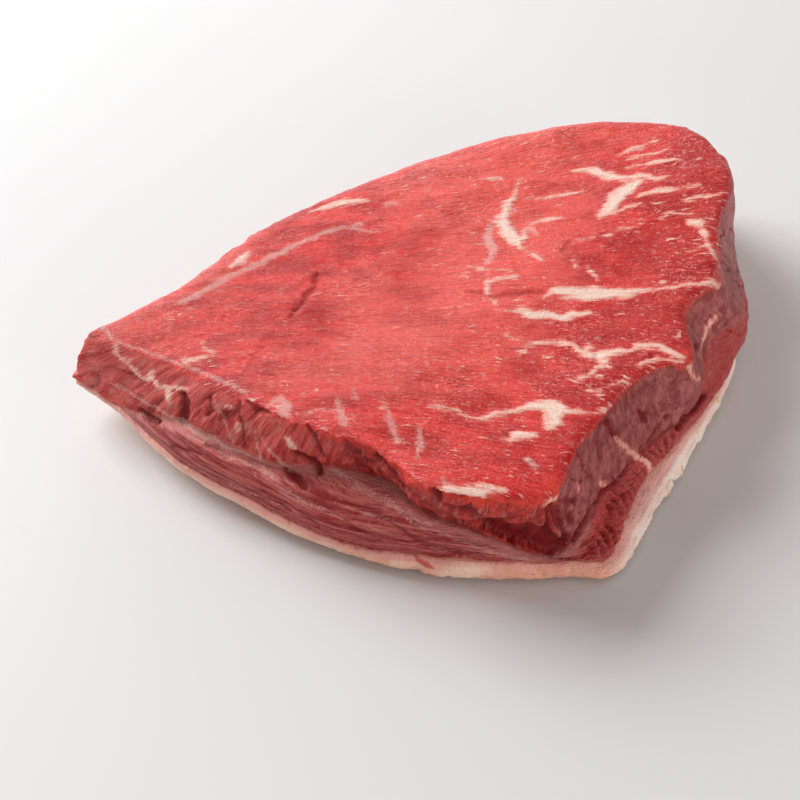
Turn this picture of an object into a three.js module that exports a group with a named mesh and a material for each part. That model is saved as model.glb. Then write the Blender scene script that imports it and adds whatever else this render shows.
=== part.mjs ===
// A raw picanha (rump cap) in one piece, lying on its own cap of fat.
// The lean is one closed body and the fat cap under it is another.
// Units are millimetres. +Z is up, the tip points to -X, the wide cut end to +X,
// and the long cut front to -Y. The origin is the bottom centre of the whole cut.
import * as THREE from "three";

// The outline seen from above, in polar form round a point inside the meat.
// Each station has a bearing in degrees, anticlockwise from +X, the radius of the
// fat's rim, how far the top edge of the lean stands back from that rim, how high up
// the lean's side the crease runs, as a share of it, and how thick the fat shows.
const STATIONS = [
  { bearing: 0, rim: 103, setback: 20, crease: 0.2, band: 9.5 },
  { bearing: 6, rim: 108, setback: 13, crease: 0.2, band: 9.5 },
  { bearing: 15, rim: 114, setback: 13, crease: 0.2, band: 9.5 },
  { bearing: 27, rim: 125, setback: 10, crease: 0.2, band: 9.5 },
  { bearing: 33, rim: 134, setback: 3, crease: 0.2, band: 9.5 },
  { bearing: 39, rim: 147, setback: 6, crease: 0.2, band: 9.5 },
  { bearing: 45, rim: 154, setback: 6, crease: 0.2, band: 9.5 },
  { bearing: 51, rim: 159, setback: 8, crease: 0.2, band: 9.5 },
  { bearing: 57, rim: 151, setback: 8, crease: 0.2, band: 9.5 },
  { bearing: 63, rim: 141, setback: 8, crease: 0.2, band: 9.5 },
  { bearing: 75, rim: 122, setback: 8, crease: 0.2, band: 9.5 },
  { bearing: 96, rim: 105, setback: 10, crease: 0.24, band: 9 },
  { bearing: 126, rim: 95, setback: 11, crease: 0.34, band: 7.5 },
  { bearing: 150, rim: 101, setback: 12, crease: 0.44, band: 5.5 },
  { bearing: 165, rim: 111, setback: 15, crease: 0.5, band: 4.3 },
  { bearing: 174, rim: 124, setback: 18, crease: 0.48, band: 3.4 },
  { bearing: 180, rim: 139, setback: 19, crease: 0.15, band: 3 },
  { bearing: 183, rim: 141, setback: 7, crease: 0.1, band: 3.1 },
  { bearing: 186, rim: 132, setback: 8, crease: 0.04, band: 3.2 },
  { bearing: 192, rim: 122, setback: 12, crease: 0.08, band: 3.5 },
  { bearing: 204, rim: 112, setback: 17, crease: 0.38, band: 4.7 },
  { bearing: 222, rim: 99, setback: 13, crease: 0.37, band: 5 },
  { bearing: 246, rim: 93, setback: 12, crease: 0.51, band: 5 },
  { bearing: 255, rim: 93, setback: 9, crease: 0.48, band: 6.5 },
  { bearing: 261, rim: 93, setback: 0, crease: 0.46, band: 7.8 },
  { bearing: 276, rim: 96, setback: -3, crease: 0.41, band: 9.3 },
  { bearing: 288, rim: 99, setback: 0, crease: 0.12, band: 6 },
  { bearing: 294, rim: 103, setback: 14, crease: 0.04, band: 5.5 },
  { bearing: 300, rim: 108, setback: 26, crease: 0.06, band: 5 },
  { bearing: 309, rim: 101, setback: 24, crease: 0.16, band: 7 },
  { bearing: 321, rim: 94, setback: 21, crease: 0.2, band: 6.5 },
  { bearing: 333, rim: 93, setback: 14, crease: 0.2, band: 8.5 },
  { bearing: 339, rim: 93, setback: 5, crease: 0.2, band: 9.5 },
  { bearing: 351, rim: 97, setback: 14, crease: 0.2, band: 9.5 },
];
const BEARING_STEP = 3;

// The top of the lean
const TOP_HEIGHT = 48;
const TIP_FALL = 10;
const TIP_FALL_START = -55;
const TIP_FALL_LENGTH = 85;
const CORNER_FALL = 4;
const CORNER = { x: 28, y: -97, reach: 30 };
const SWELL = 0.9;
const RIPPLE = 0.5;
const TOP_RINGS = [0.18, 0.36, 0.54, 0.72, 0.88];

// The top edge: how far in it starts to round over, and how far it drops there
const EDGE_ROUND = { in: 4, down: 1.5 };
const BACK_ROUND = { in: 16, down: 5 };
const BACK_BEARING = { middle: 125, width: 55 };

// The crease between the upper block and the lower lobe, on the front and the cut end
const FRONT_CREASE = { depth: 10, middle: 250, width: 26 };
const END_CREASE = { depth: 8, middle: 304, width: 7 };
const LOBE_SWELL = 1;
const BLOCK_SWELL = 1.5;
const SIDE_BELLY = { out: 7, middle: 13, width: 14 };
const BLOCK_RINGS = [0.35, 0.7];
const LOBE_RINGS = [
  { down: 0.14, out: 0.5 },
  { down: 0.52, out: 0.88 },
];

// Crags: how far the torn fibres of the sides stand in and out in millimetres, how many
// degrees and millimetres make a radian of their waves, and how slowly the fine ones wander
const CRAG = { out: 1.1, coarse: 8.5, fine: 3.75, upright: 4.5, wander: 20 };

// The fat cap
const RIM_HEIGHT = 2.5;
const TIP_LIFT = 11.5;
const TIP_LIFT_START = 10;
const TIP_LIFT_LENGTH = 152;
const BACK_LIFT = 4;
const BACK_LIFT_LENGTH = 110;
const LEDGE = { out: 9, middle: 318, width: 22 };
const LEDGE_ALL_ROUND = 1;
const FAT_UNDER_LEAN = 9;
const GAP = 0.3;
const UNDER_RINGS = [0.9, 0.75, 0.5, 0.25];

// The underside of the fat: flat in the middle, curling up to the rim
const SHOULDER = { out: 0.7, down: 0.4 };
const CURL_RINGS = [0.9, 0.75];
const CURL_POWER = 1.5;
const FLAT_SHARE = 0.55;
const FLAT_RINGS = [FLAT_SHARE, 0.3];

const degrees = (bearing) => THREE.MathUtils.degToRad(bearing);
const lerp = THREE.MathUtils.lerp;
const smooth = THREE.MathUtils.smoothstep;

// A bell over bearings, 1 in its middle and falling off over its width, round the full turn.
function bell(bearing, { middle, width }) {
  const away = ((bearing - middle + 540) % 360) - 180;
  return Math.exp(-((away / width) ** 2));
}

// One field of the stations at any bearing, by a smooth curve through its neighbours.
function outline(bearing, field) {
  const count = STATIONS.length;
  const place = (index) => {
    const turn = Math.floor(index / count);
    const station = STATIONS[index - turn * count];
    return { at: station.bearing + 360 * turn, value: station[field] };
  };
  const index = STATIONS.findLastIndex((station) => station.bearing <= bearing);
  const [before, from, to, after] = [-1, 0, 1, 2].map((step) => place(index + step));
  const span = to.at - from.at;
  const share = (bearing - from.at) / span;
  const slopeFrom = ((to.value - before.value) / (to.at - before.at)) * span;
  const slopeTo = ((after.value - from.value) / (after.at - from.at)) * span;
  const [s2, s3] = [share ** 2, share ** 3];
  return (
    (2 * s3 - 3 * s2 + 1) * from.value +
    (s3 - 2 * s2 + share) * slopeFrom +
    (3 * s2 - 2 * s3) * to.value +
    (s3 - s2) * slopeTo
  );
}

// The height of the lean's top over a place in plan.
function topHeight(x, y) {
  const tip = Math.max(0, (TIP_FALL_START - x) / TIP_FALL_LENGTH) ** 1.8;
  const corner = Math.exp(-(((x - CORNER.x) ** 2 + (y - CORNER.y) ** 2) / CORNER.reach ** 2));
  const swell = SWELL * Math.sin(x / 23 + 0.4) * Math.sin(y / 17 + 1.1);
  const ripple = RIPPLE * Math.sin(x / 11 - y / 13);
  return TOP_HEIGHT - TIP_FALL * tip - CORNER_FALL * corner + swell + ripple;
}

// The height of the rim's lowest line: the tip and the back curl up off the table.
function rimHeight(x, y) {
  const tip = Math.max(0, (TIP_LIFT_START - x) / TIP_LIFT_LENGTH) ** 1.6;
  const back = smooth(y, 0, BACK_LIFT_LENGTH);
  return RIM_HEIGHT + TIP_LIFT * tip + BACK_LIFT * back;
}

// How far a place on the side stands out, by its bearing and height.
function crag(bearing, z) {
  const upright = z / CRAG.upright;
  const coarse = Math.sin(bearing / CRAG.coarse + upright);
  const fine = Math.sin(bearing / CRAG.fine - upright + Math.sin(bearing / CRAG.wander));
  return CRAG.out * (0.6 * coarse + 0.4 * fine);
}

// The radii and heights that the two bodies share at one bearing.
function section(bearing) {
  const rim = outline(bearing, "rim");
  const edge = rim - outline(bearing, "setback");
  const foot = rim - LEDGE_ALL_ROUND - LEDGE.out * bell(bearing, LEDGE);
  const [x, y] = [Math.cos(degrees(bearing)), Math.sin(degrees(bearing))];
  const rimZ = rimHeight(rim * x, rim * y);
  const footZ = rimZ + outline(bearing, "band");
  return { bearing, x, y, rim, edge, foot, rimZ, footZ };
}

// The lean's underside, which is also the top of the fat, at a share of the foot's radius.
const seamHeight = (s, share) => lerp(FAT_UNDER_LEAN, s.footZ, share ** 3);

// The lean's section from the top down and under, as [radius, height] pairs.
function leanSection(s) {
  const roundness = bell(s.bearing, BACK_BEARING);
  const roundIn = lerp(EDGE_ROUND.in, BACK_ROUND.in, roundness);
  const roundDown = lerp(EDGE_ROUND.down, BACK_ROUND.down, roundness);
  const top = (radius) => topHeight(radius * s.x, radius * s.y);
  const edgeZ = top(s.edge) - roundDown;

  const creaseShare = outline(s.bearing, "crease");
  const creaseZ = lerp(s.footZ, edgeZ, creaseShare);
  const frontDepth = FRONT_CREASE.depth * bell(s.bearing, FRONT_CREASE);
  const endDepth = END_CREASE.depth * bell(s.bearing, END_CREASE);
  const belly = SIDE_BELLY.out * bell(s.bearing, SIDE_BELLY);
  const crease = lerp(s.foot, s.edge, creaseShare) - frontDepth - endDepth + belly;

  const block = (share) => {
    const z = lerp(edgeZ, creaseZ, share);
    return [lerp(s.edge, crease, share) + BLOCK_SWELL + crag(s.bearing, z), z];
  };
  const lobe = ({ down, out }) => {
    const z = lerp(creaseZ, s.footZ, down);
    return [lerp(crease, s.foot, out) + LOBE_SWELL + crag(s.bearing, z) / 2, z];
  };

  const flat = s.edge - roundIn;
  return [
    ...TOP_RINGS.map((share) => [share * flat, top(share * flat)]),
    [flat, top(flat)],
    [s.edge - roundIn / 3, top(s.edge) - roundDown / 3],
    [s.edge, edgeZ],
    ...BLOCK_RINGS.map(block),
    [crease, creaseZ],
    ...LOBE_RINGS.map(lobe),
    [s.foot, s.footZ],
    ...UNDER_RINGS.map((share) => [share * s.foot, seamHeight(s, share)]),
  ];
}

// The fat's section from its top, out over the rim and under, as [radius, height] pairs.
function fatSection(s) {
  const curl = (share) => s.rimZ * ((share - FLAT_SHARE) / (1 - FLAT_SHARE)) ** CURL_POWER;
  const shoulder = [lerp(s.foot, s.rim, SHOULDER.out), lerp(s.footZ - GAP, s.rimZ, SHOULDER.down)];
  return [
    ...UNDER_RINGS.toReversed().map((share) => [share * s.foot, seamHeight(s, share) - GAP]),
    [s.foot, s.footZ - GAP],
    shoulder,
    [s.rim, s.rimZ],
    ...CURL_RINGS.map((share) => [share * s.rim, curl(share)]),
    ...FLAT_RINGS.map((share) => [share * s.rim, 0]),
  ];
}

// A closed skin through sections all round, from a pole above to a pole below.
function skin(sectionAt, poleAbove, poleBelow) {
  const sections = [];
  for (let bearing = 0; bearing < 360; bearing += BEARING_STEP) {
    const s = section(bearing);
    sections.push(sectionAt(s).map(([radius, z]) => [radius * s.x, radius * s.y, z]));
  }
  const rings = sections[0].length;
  const positions = [...sections.flat(2), 0, 0, poleAbove, 0, 0, poleBelow];
  const above = sections.length * rings;
  const faces = [];
  sections.forEach((_, i) => {
    const [here, next] = [i * rings, ((i + 1) % sections.length) * rings];
    faces.push(above, here, next);
    for (let ring = 0; ring < rings - 1; ring++) {
      faces.push(here + ring, here + ring + 1, next + ring);
      faces.push(next + ring, here + ring + 1, next + ring + 1);
    }
    faces.push(above + 1, next + rings - 1, here + rings - 1);
  });
  const geometry = new THREE.BufferGeometry();
  geometry.setAttribute("position", new THREE.Float32BufferAttribute(positions, 3));
  geometry.setIndex(faces);
  geometry.computeVertexNormals();
  return geometry;
}

const leanMaterial = new THREE.MeshStandardMaterial({ color: 0xb03a3a, roughness: 0.35, metalness: 0 });
const fatMaterial = new THREE.MeshStandardMaterial({ color: 0xe6cdb9, roughness: 0.45, metalness: 0 });

const lean = new THREE.Mesh(skin(leanSection, topHeight(0, 0), FAT_UNDER_LEAN), leanMaterial);
lean.name = "lean_meat";
const fat = new THREE.Mesh(skin(fatSection, FAT_UNDER_LEAN - GAP, 0), fatMaterial);
fat.name = "fat_cap";

const steak = new THREE.Group();
steak.add(lean, fat);
const middle = new THREE.Box3().setFromObject(steak).getCenter(new THREE.Vector3());
for (const mesh of steak.children) mesh.position.set(-middle.x, -middle.y, 0);

export default steak;
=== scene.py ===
"""A raw picanha on its cap of fat: the lean, the fat and a plain stage.

Laid out as an add-on and run as a script. Each operator makes one piece from its settings,
and the panel in the sidebar lists them. Places on the cut top are millimetres in plan from the
pole, a place inside the meat. Places on the sides are a bearing in degrees round the pole, from
+X at the wide cut end over +Y to -X at the thin tip, and a drop from the top edge. On the fat a
height stands for the drop.
"""

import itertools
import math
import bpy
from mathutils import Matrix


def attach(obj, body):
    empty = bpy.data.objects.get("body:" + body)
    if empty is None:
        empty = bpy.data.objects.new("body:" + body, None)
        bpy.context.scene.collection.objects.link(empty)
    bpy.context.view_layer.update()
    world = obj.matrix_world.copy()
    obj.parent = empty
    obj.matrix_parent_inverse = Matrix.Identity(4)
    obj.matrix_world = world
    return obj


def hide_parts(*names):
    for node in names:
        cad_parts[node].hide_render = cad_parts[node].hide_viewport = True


bl_info = {
    "name": "Raw picanha",
    "version": (1, 0, 0),
    "blender": (4, 5, 0),
    "location": "3D View > Sidebar > Picanha",
    "description": "Makes the lean, the fat cap and the stage of a raw rump cap",
    "category": "Object",
}

from types import SimpleNamespace

import bpy
import numpy as np
from bpy.props import FloatProperty, FloatVectorProperty, PointerProperty

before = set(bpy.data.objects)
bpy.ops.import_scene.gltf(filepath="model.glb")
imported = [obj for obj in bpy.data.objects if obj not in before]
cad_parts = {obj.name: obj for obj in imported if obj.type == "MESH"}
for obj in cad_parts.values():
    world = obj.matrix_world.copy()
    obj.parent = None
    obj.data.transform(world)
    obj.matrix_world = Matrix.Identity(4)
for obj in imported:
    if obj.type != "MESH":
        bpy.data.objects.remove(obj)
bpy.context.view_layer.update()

MM = 0.001

# The place inside the meat that plan places and bearings are taken from, in the row frame
POLE = (13.3, -14.1)
MERGE = 1e-6

# Faces of the lean that look down more steeply than this lie on the fat
HIDDEN_FACING = -0.5

# Bearings run down a full turn from this one, so that they jump at the back
LAST_BEARING = 100

# The radius that millimetres round the side are counted at, and how far the search for the
# top edge leans outward
ROUND_RADIUS = 100
EDGE_LEAN = 0.45
SHARP_EDGE = math.radians(34)

# The side lines are read off the solids at bearings this far apart, each from the corners within
# a reach of it and out from a radius
LINE_STEP = 3
LINE_REACH = 1
FAT_LINE_FROM = 50
EDGE_LINE_FROM = 40

# How much a millimetre outward counts in the drop, which runs from the top edge down a side
OUTWARD = 0.9

# How far across the upright fibres of the block lean for a millimetre of drop
BLOCK_LEAN = 0.3

# How much a millimetre of height over the fat line counts across the fibres of the lobe
RISE_SHARE = 1.2

# Outside every band
FAR_OUTSIDE = -99.0

# How high the seams of fat stand out, and how much they and the flesh by them are calmer
SEAM_HEIGHT = 0.22
SEAM_CALM = 0.6

# The crease between the upper block and the lower lobe: how deep, half its width, and its
# places as bearing and drop
CREASE_DEPTH = 1.1
CREASE_WIDTH = 1.6
CREASE = ((-180, 46), (-174, 42), (-168, 36), (-162, 31), (-153, 27), (-144, 26), (-135, 24), (-126, 20),
          (-117, 16), (-108, 15), (-99, 14), (-90, 16), (-81, 22), (-72, 32), (-66, 39), (-63, 36),
          (-57, 33), (-50, 36), (-36, 37), (-27, 34), (-18, 29), (0, 28), (30, 34), (90, 34), (174, 40))

# The bearings between which the wide cut end lies, with the width of each change, and how much
# further round the upper block is cut
END_FROM = -64
END_TO = 34
END_BLEND = 4
END_OVERHANG = 9

# The fibres of the top fan out from a place beyond the tip, in plan
FAN = (-262, -16)
FAN_REACH = 240

# Seams of fat on the top, in plan from the pole: x, y and half the width at each place
TOP_SEAMS = {
    "back seam": ((48, 83, 0.9), (55, 82, 2.6), (60, 79, 2.7), (66, 76, 2.2), (74, 77, 1.8), (79, 74, 2.2),
                  (84, 75, 0.6)),
    "back seam down": ((74, 74, 1.7), (69, 69, 3.0), (64, 64, 3.1), (61, 58, 2.7), (59, 53, 2.1),
                       (56, 50, 0.6)),
    "back branch": ((72, 63, 0.8), (78, 66, 1.1), (86, 68, 1.1), (96, 70, 0.4)),
    "back low line": ((57, 38, 0.4), (60, 41, 0.8), (65, 43, 0.8), (70, 45, 0.4)),
    "back middle line": ((61, 52, 0.8), (66, 56, 1.1), (72, 58, 0.4)),
    "back streak 1": ((67, 93, 0.4), (76, 98, 1.1), (83, 103, 0.4)),
    "back streak 2": ((70, 89, 0.4), (79, 93, 1.1), (86, 96, 0.4)),
    "back streak 3": ((69, 84, 0.4), (81, 87, 1.1), (91, 88, 0.4)),
    "right streak 1": ((79, 50, 0.4), (85, 53, 1.1), (91, 52, 0.4)),
    "right streak 2": ((89, 60, 0.4), (97, 63, 0.9), (106, 66, 0.4)),
    "streak over the fork": ((32, 63, 0.4), (39, 66, 0.8), (46, 68, 0.9), (51, 68, 0.4)),
    "back patch": ((-82, 22, 0.8), (-79, 26, 1.9), (-77, 31, 1.2)),
    "back strip": ((-54, 55, 0.8), (-49, 58, 1.6), (-41, 61, 1.9), (-33, 61, 0.9)),
    "spot at the back": ((12, 76, 0.6), (16, 76, 1.2), (19, 76, 0.6)),
    "fork": ((26, 74, 0.6), (24, 66, 0.9), (21, 58, 2.2), (19, 49, 3.1), (21, 42, 3.1), (23, 36, 3.0),
             (25, 32, 1.0)),
    "fork right": ((26, 37, 1.8), (28, 45, 1.0), (32, 49, 1.0), (37, 50, 0.8), (42, 50, 0.4)),
    "fork spots": ((27, 30, 0.6), (30, 27, 0.9), (33, 22, 0.4)),
    "small spot 1": ((44, 22, 0.4), (45, 20, 0.8)),
    "small spot 2": ((49, 20, 0.6), (50, 16, 0.6), (52, 12, 0.4)),
    "dot": ((92, 47, 2.7), (93, 47, 2.7)),
    "dot below": ((94, 42, 1.7), (95, 36, 1.0), (97, 27, 0.8)),
    "dot line": ((87, 30, 0.4), (94, 33, 0.8)),
    "middle seam": ((32, 1, 0.5), (36, 5, 2.5), (42, 4, 3.9), (50, 4, 4.0), (56, 4, 3.5), (62, 5, 2.6),
                    (67, 6, 1.7), (73, 7, 0.8), (82, 9, 0.9), (89, 10, 0.9), (95, 13, 1.1),
                    (100, 15, 0.7)),
    "middle patch": ((17, -7, 0.5), (23, -6, 1.4), (27, -9, 2.2), (32, -9, 2.3), (37, -10, 2.3),
                     (42, -8, 1.8), (48, -7, 0.6)),
    "left hook": ((23, 13, 0.3), (16, 12, 0.6), (12, 11, 0.9), (11, 5, 0.6), (13, 0, 0.8), (14, -3, 0.4)),
    "line over the hook": ((6, 20, 0.3), (12, 18, 0.6), (21, 17, 0.3)),
    "right seam": ((21, -24, 0.4), (29, -23, 0.8), (35, -22, 0.9), (40, -24, 0.8), (43, -27, 1.1),
                   (47, -30, 2.2), (50, -30, 2.6), (53, -29, 2.2), (56, -28, 1.1), (60, -28, 0.8),
                   (64, -26, 1.1), (69, -25, 1.8), (72, -26, 1.8), (75, -29, 1.8), (78, -31, 0.8)),
    "right seam knob": ((46, -26, 1.1), (47, -25, 0.8)),
    "right seam leg": ((51, -33, 1.8), (48, -37, 0.8), (46, -40, 0.6), (42, -42, 0.3)),
    "right seam toe": ((51, -34, 1.1), (53, -38, 0.6)),
    "right seam low": ((63, -35, 0.4), (67, -33, 1.1), (72, -32, 1.1), (78, -33, 0.8)),
    "thin line 1": ((44, -49, 0.3), (48, -47, 0.6), (53, -45, 0.4), (59, -43, 0.2)),
    "thin line 2": ((17, -19, 0.3), (23, -22, 0.6)),
    "front seam": ((-10, -56, 0.4), (-5, -57, 0.6), (0, -58, 0.8), (4, -61, 0.9), (9, -61, 0.9),
                   (14, -58, 1.1), (19, -57, 1.0), (24, -55, 1.8), (29, -55, 2.7), (33, -56, 3.5)),
    "front seam blob": ((32, -58, 3.0), (31, -64, 2.6)),
    "front seam tail": ((36, -58, 1.1), (41, -58, 0.6), (45, -59, 0.6), (49, -57, 0.8), (52, -54, 0.4)),
    "corner patch": ((12, -71, 0.4), (17, -71, 1.1), (20, -69, 2.3), (24, -69, 2.3), (26, -70, 0.8)),
    "left spot": ((-95, -29, 0.6), (-91, -29, 1.1), (-88, -29, 0.6)),
    "left spot 2": ((-90, -20, 0.4), (-89, -24, 0.4), (-85, -27, 0.4)),
    "edge lump": ((-7, -95, 0.6), (-3, -95, 1.8), (1, -96, 3.0), (5, -96, 2.7), (9, -95, 1.7),
                  (14, -95, 0.8)),
}

# Seams on the sides: bearing, drop and half the width
SIDE_SEAMS = {
    "tip seam": ((-173.5, 4, 0.4), (-172.8, 9, 0.6), (-171.5, 11, 0.8), (-170, 13, 0.8), (-168.4, 16, 0.9),
                 (-167, 16, 1.3), (-166.2, 14, 1.1), (-164.4, 17, 0.8), (-162.8, 16, 0.8), (-161.5, 15, 1.1),
                 (-160, 13, 0.8), (-158.4, 12, 0.4)),
    "tip seam drop": ((-161.9, 17, 1.5), (-161.3, 21, 1.3), (-160.6, 23, 0.6)),
    "tip seam branch": ((-167, 15, 0.8), (-166.8, 10, 0.6)),
    "tip seam twig": ((-171.5, 11, 0.6), (-171, 8, 0.4)),
    "cream dot": ((-132.2, 11, 1.1), (-131.1, 13, 1.5), (-130.5, 14, 0.8)),
    "white fleck 1": ((-148.7, 11, 0.6), (-147.6, 9, 0.6)),
    "white fleck 2": ((-144.8, 15, 0.4), (-143.9, 18, 0.4)),
    "corner node": ((-74, 4, 0.8), (-73.4, 3, 1.1), (-71.9, 3, 0.4)),
    "end seam": ((-47.7, 18, 0.6), (-43.5, 28, 0.9), (-38.1, 38, 1.1), (-36.4, 45, 1.3), (-35, 50, 0.8)),
    "sliver": ((-5, 22, 0.6), (-1.5, 23, 1.3), (1.5, 20, 1.1), (2.9, 18, 0.6)),
    "flap line": ((-21.9, 4, 0.4), (-20, 11, 0.5), (-13.1, 25, 0.3)),
    "end fleck 1": ((-56.2, 26, 0.4), (-53.8, 32, 0.4)),
    "end fleck 2": ((-64, 14, 0.4), (-63.7, 18, 0.6)),
}

# Places by the top edge with a painted glow: orange put into the colour where light would shine through thin
# flesh, in plan
PAINTED_GLOWS = {
    "edge lump": ((3, -98, 1.2), (7, -99, 2.4), (12, -98, 1.4)),
    "corner": ((27, -89, 1.2), (31, -92, 2.2), (33, -96, 1.4)),
    "flap": ((73, -33, 1.0), (78, -33, 1.8), (80, -28, 1.2)),
}

# Thin bluish skin on the top, and painted highlights of wet flesh in the glaze and glint patches, in plan
TOP_SKINS_AND_GLINTS = {
    "silver skin": ((14, 46, 1.5), (13, 37, 1.9), (15, 31, 1.9), (12, 22, 1.1)),
    "fork lilac": ((30, 44, 1.1), (31, 40, 1.1)),
    "small lilac": ((47, 36, 0.8), (53, 37, 0.6)),
    "lilac dot": ((49, -21, 0.8), (50, -21, 0.8)),
    "front painted glint 1": ((-65, -55, 0.8), (-61, -52, 1.5), (-59, -57, 2.6), (-59, -60, 2.3)),
    "front painted glint 2": ((-52, -60, 0.4), (-48, -59, 0.6), (-42, -60, 0.4)),
    "front painted glint 3": ((-41, -54, 0.6), (-40, -60, 1.5), (-39, -66, 1.5)),
    "front painted glint 4": ((-36, -49, 0.4), (-35, -54, 0.8)),
    "front painted glint 5": ((-25, -57, 0.6), (-23, -66, 1.1), (-21, -73, 1.1)),
    "front painted glint 6": ((-14, -68, 0.8), (-13, -75, 1.5), (-14, -79, 0.8)),
    "corner painted glint 1": ((-6, -90, 0.8), (-5, -95, 1.5)),
    "corner painted glint 2": ((22, -80, 1.1), (24, -83, 1.1)),
    "back line": ((-99, 2, 1.1), (-91, 9, 1.5), (-83, 17, 1.6), (-75, 22, 1.5), (-69, 26, 1.6),
                  (-59, 34, 1.5), (-49, 41, 1.1), (-41, 44, 1.1), (-31, 41, 0.8)),
    "back glint 1": ((-25, 59, 1.1), (-22, 59, 1.1)),
    "back glint 2": ((-38, 45, 1.1), (-35, 46, 1.1)),
}

# A painted highlight along the top edge, from the tip to the front, where the wet edge catches the light:
# bearing, drop and half the width
PAINTED_EDGE_HIGHLIGHT = ((-184, 1, 1.3), (-180, 1, 1.3), (-176, 2, 1.3), (-173, 2, 0.9), (-169, 1, 0.9),
              (-165, 1.5, 1.0), (-160, 1, 0.9), (-155, 1, 1.0), (-150, 0, 0.9), (-146, 0, 0.8))

# Cracks and folds of the top: how deep, and its places in plan. The depth also sets how far they are painted
# dark: deep red of the flesh and painted shade in one.
TOP_GROOVES = {
    "top crack": (0.8, ((-50, 17, 0.4), (-51, 12, 0.6), (-51, 7, 0.8), (-54, 5, 1.1), (-55, -1, 0.8),
                        (-57, -5, 0.6), (-59, -9, 0.3))),
    "top crack twig": (0.6, ((-55, -2, 0.4), (-57, -1, 0.6), (-59, 1, 0.4))),
    "top line": (0.25, ((-67, -21, 0.4), (-70, -29, 0.5), (-72, -36, 0.5), (-75, -43, 0.4))),
    "fold": (0.6, ((14, 1, 0.8), (20, 3, 1.5), (27, 4, 1.1), (32, 4, 0.8))),
    "red crack": (0.7, ((5, 5, 0.8), (10, 5, 0.9))),
    "small fold": (0.4, ((44, 35, 0.6), (42, 31, 0.9), (40, 28, 0.8))),
    "red fleck 1": (0.8, ((48, -30, 0.6), (48, -32, 0.6))),
    "red fleck 2": (0.8, ((67, -32, 0.8), (68, -31, 0.8))),
}
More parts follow.
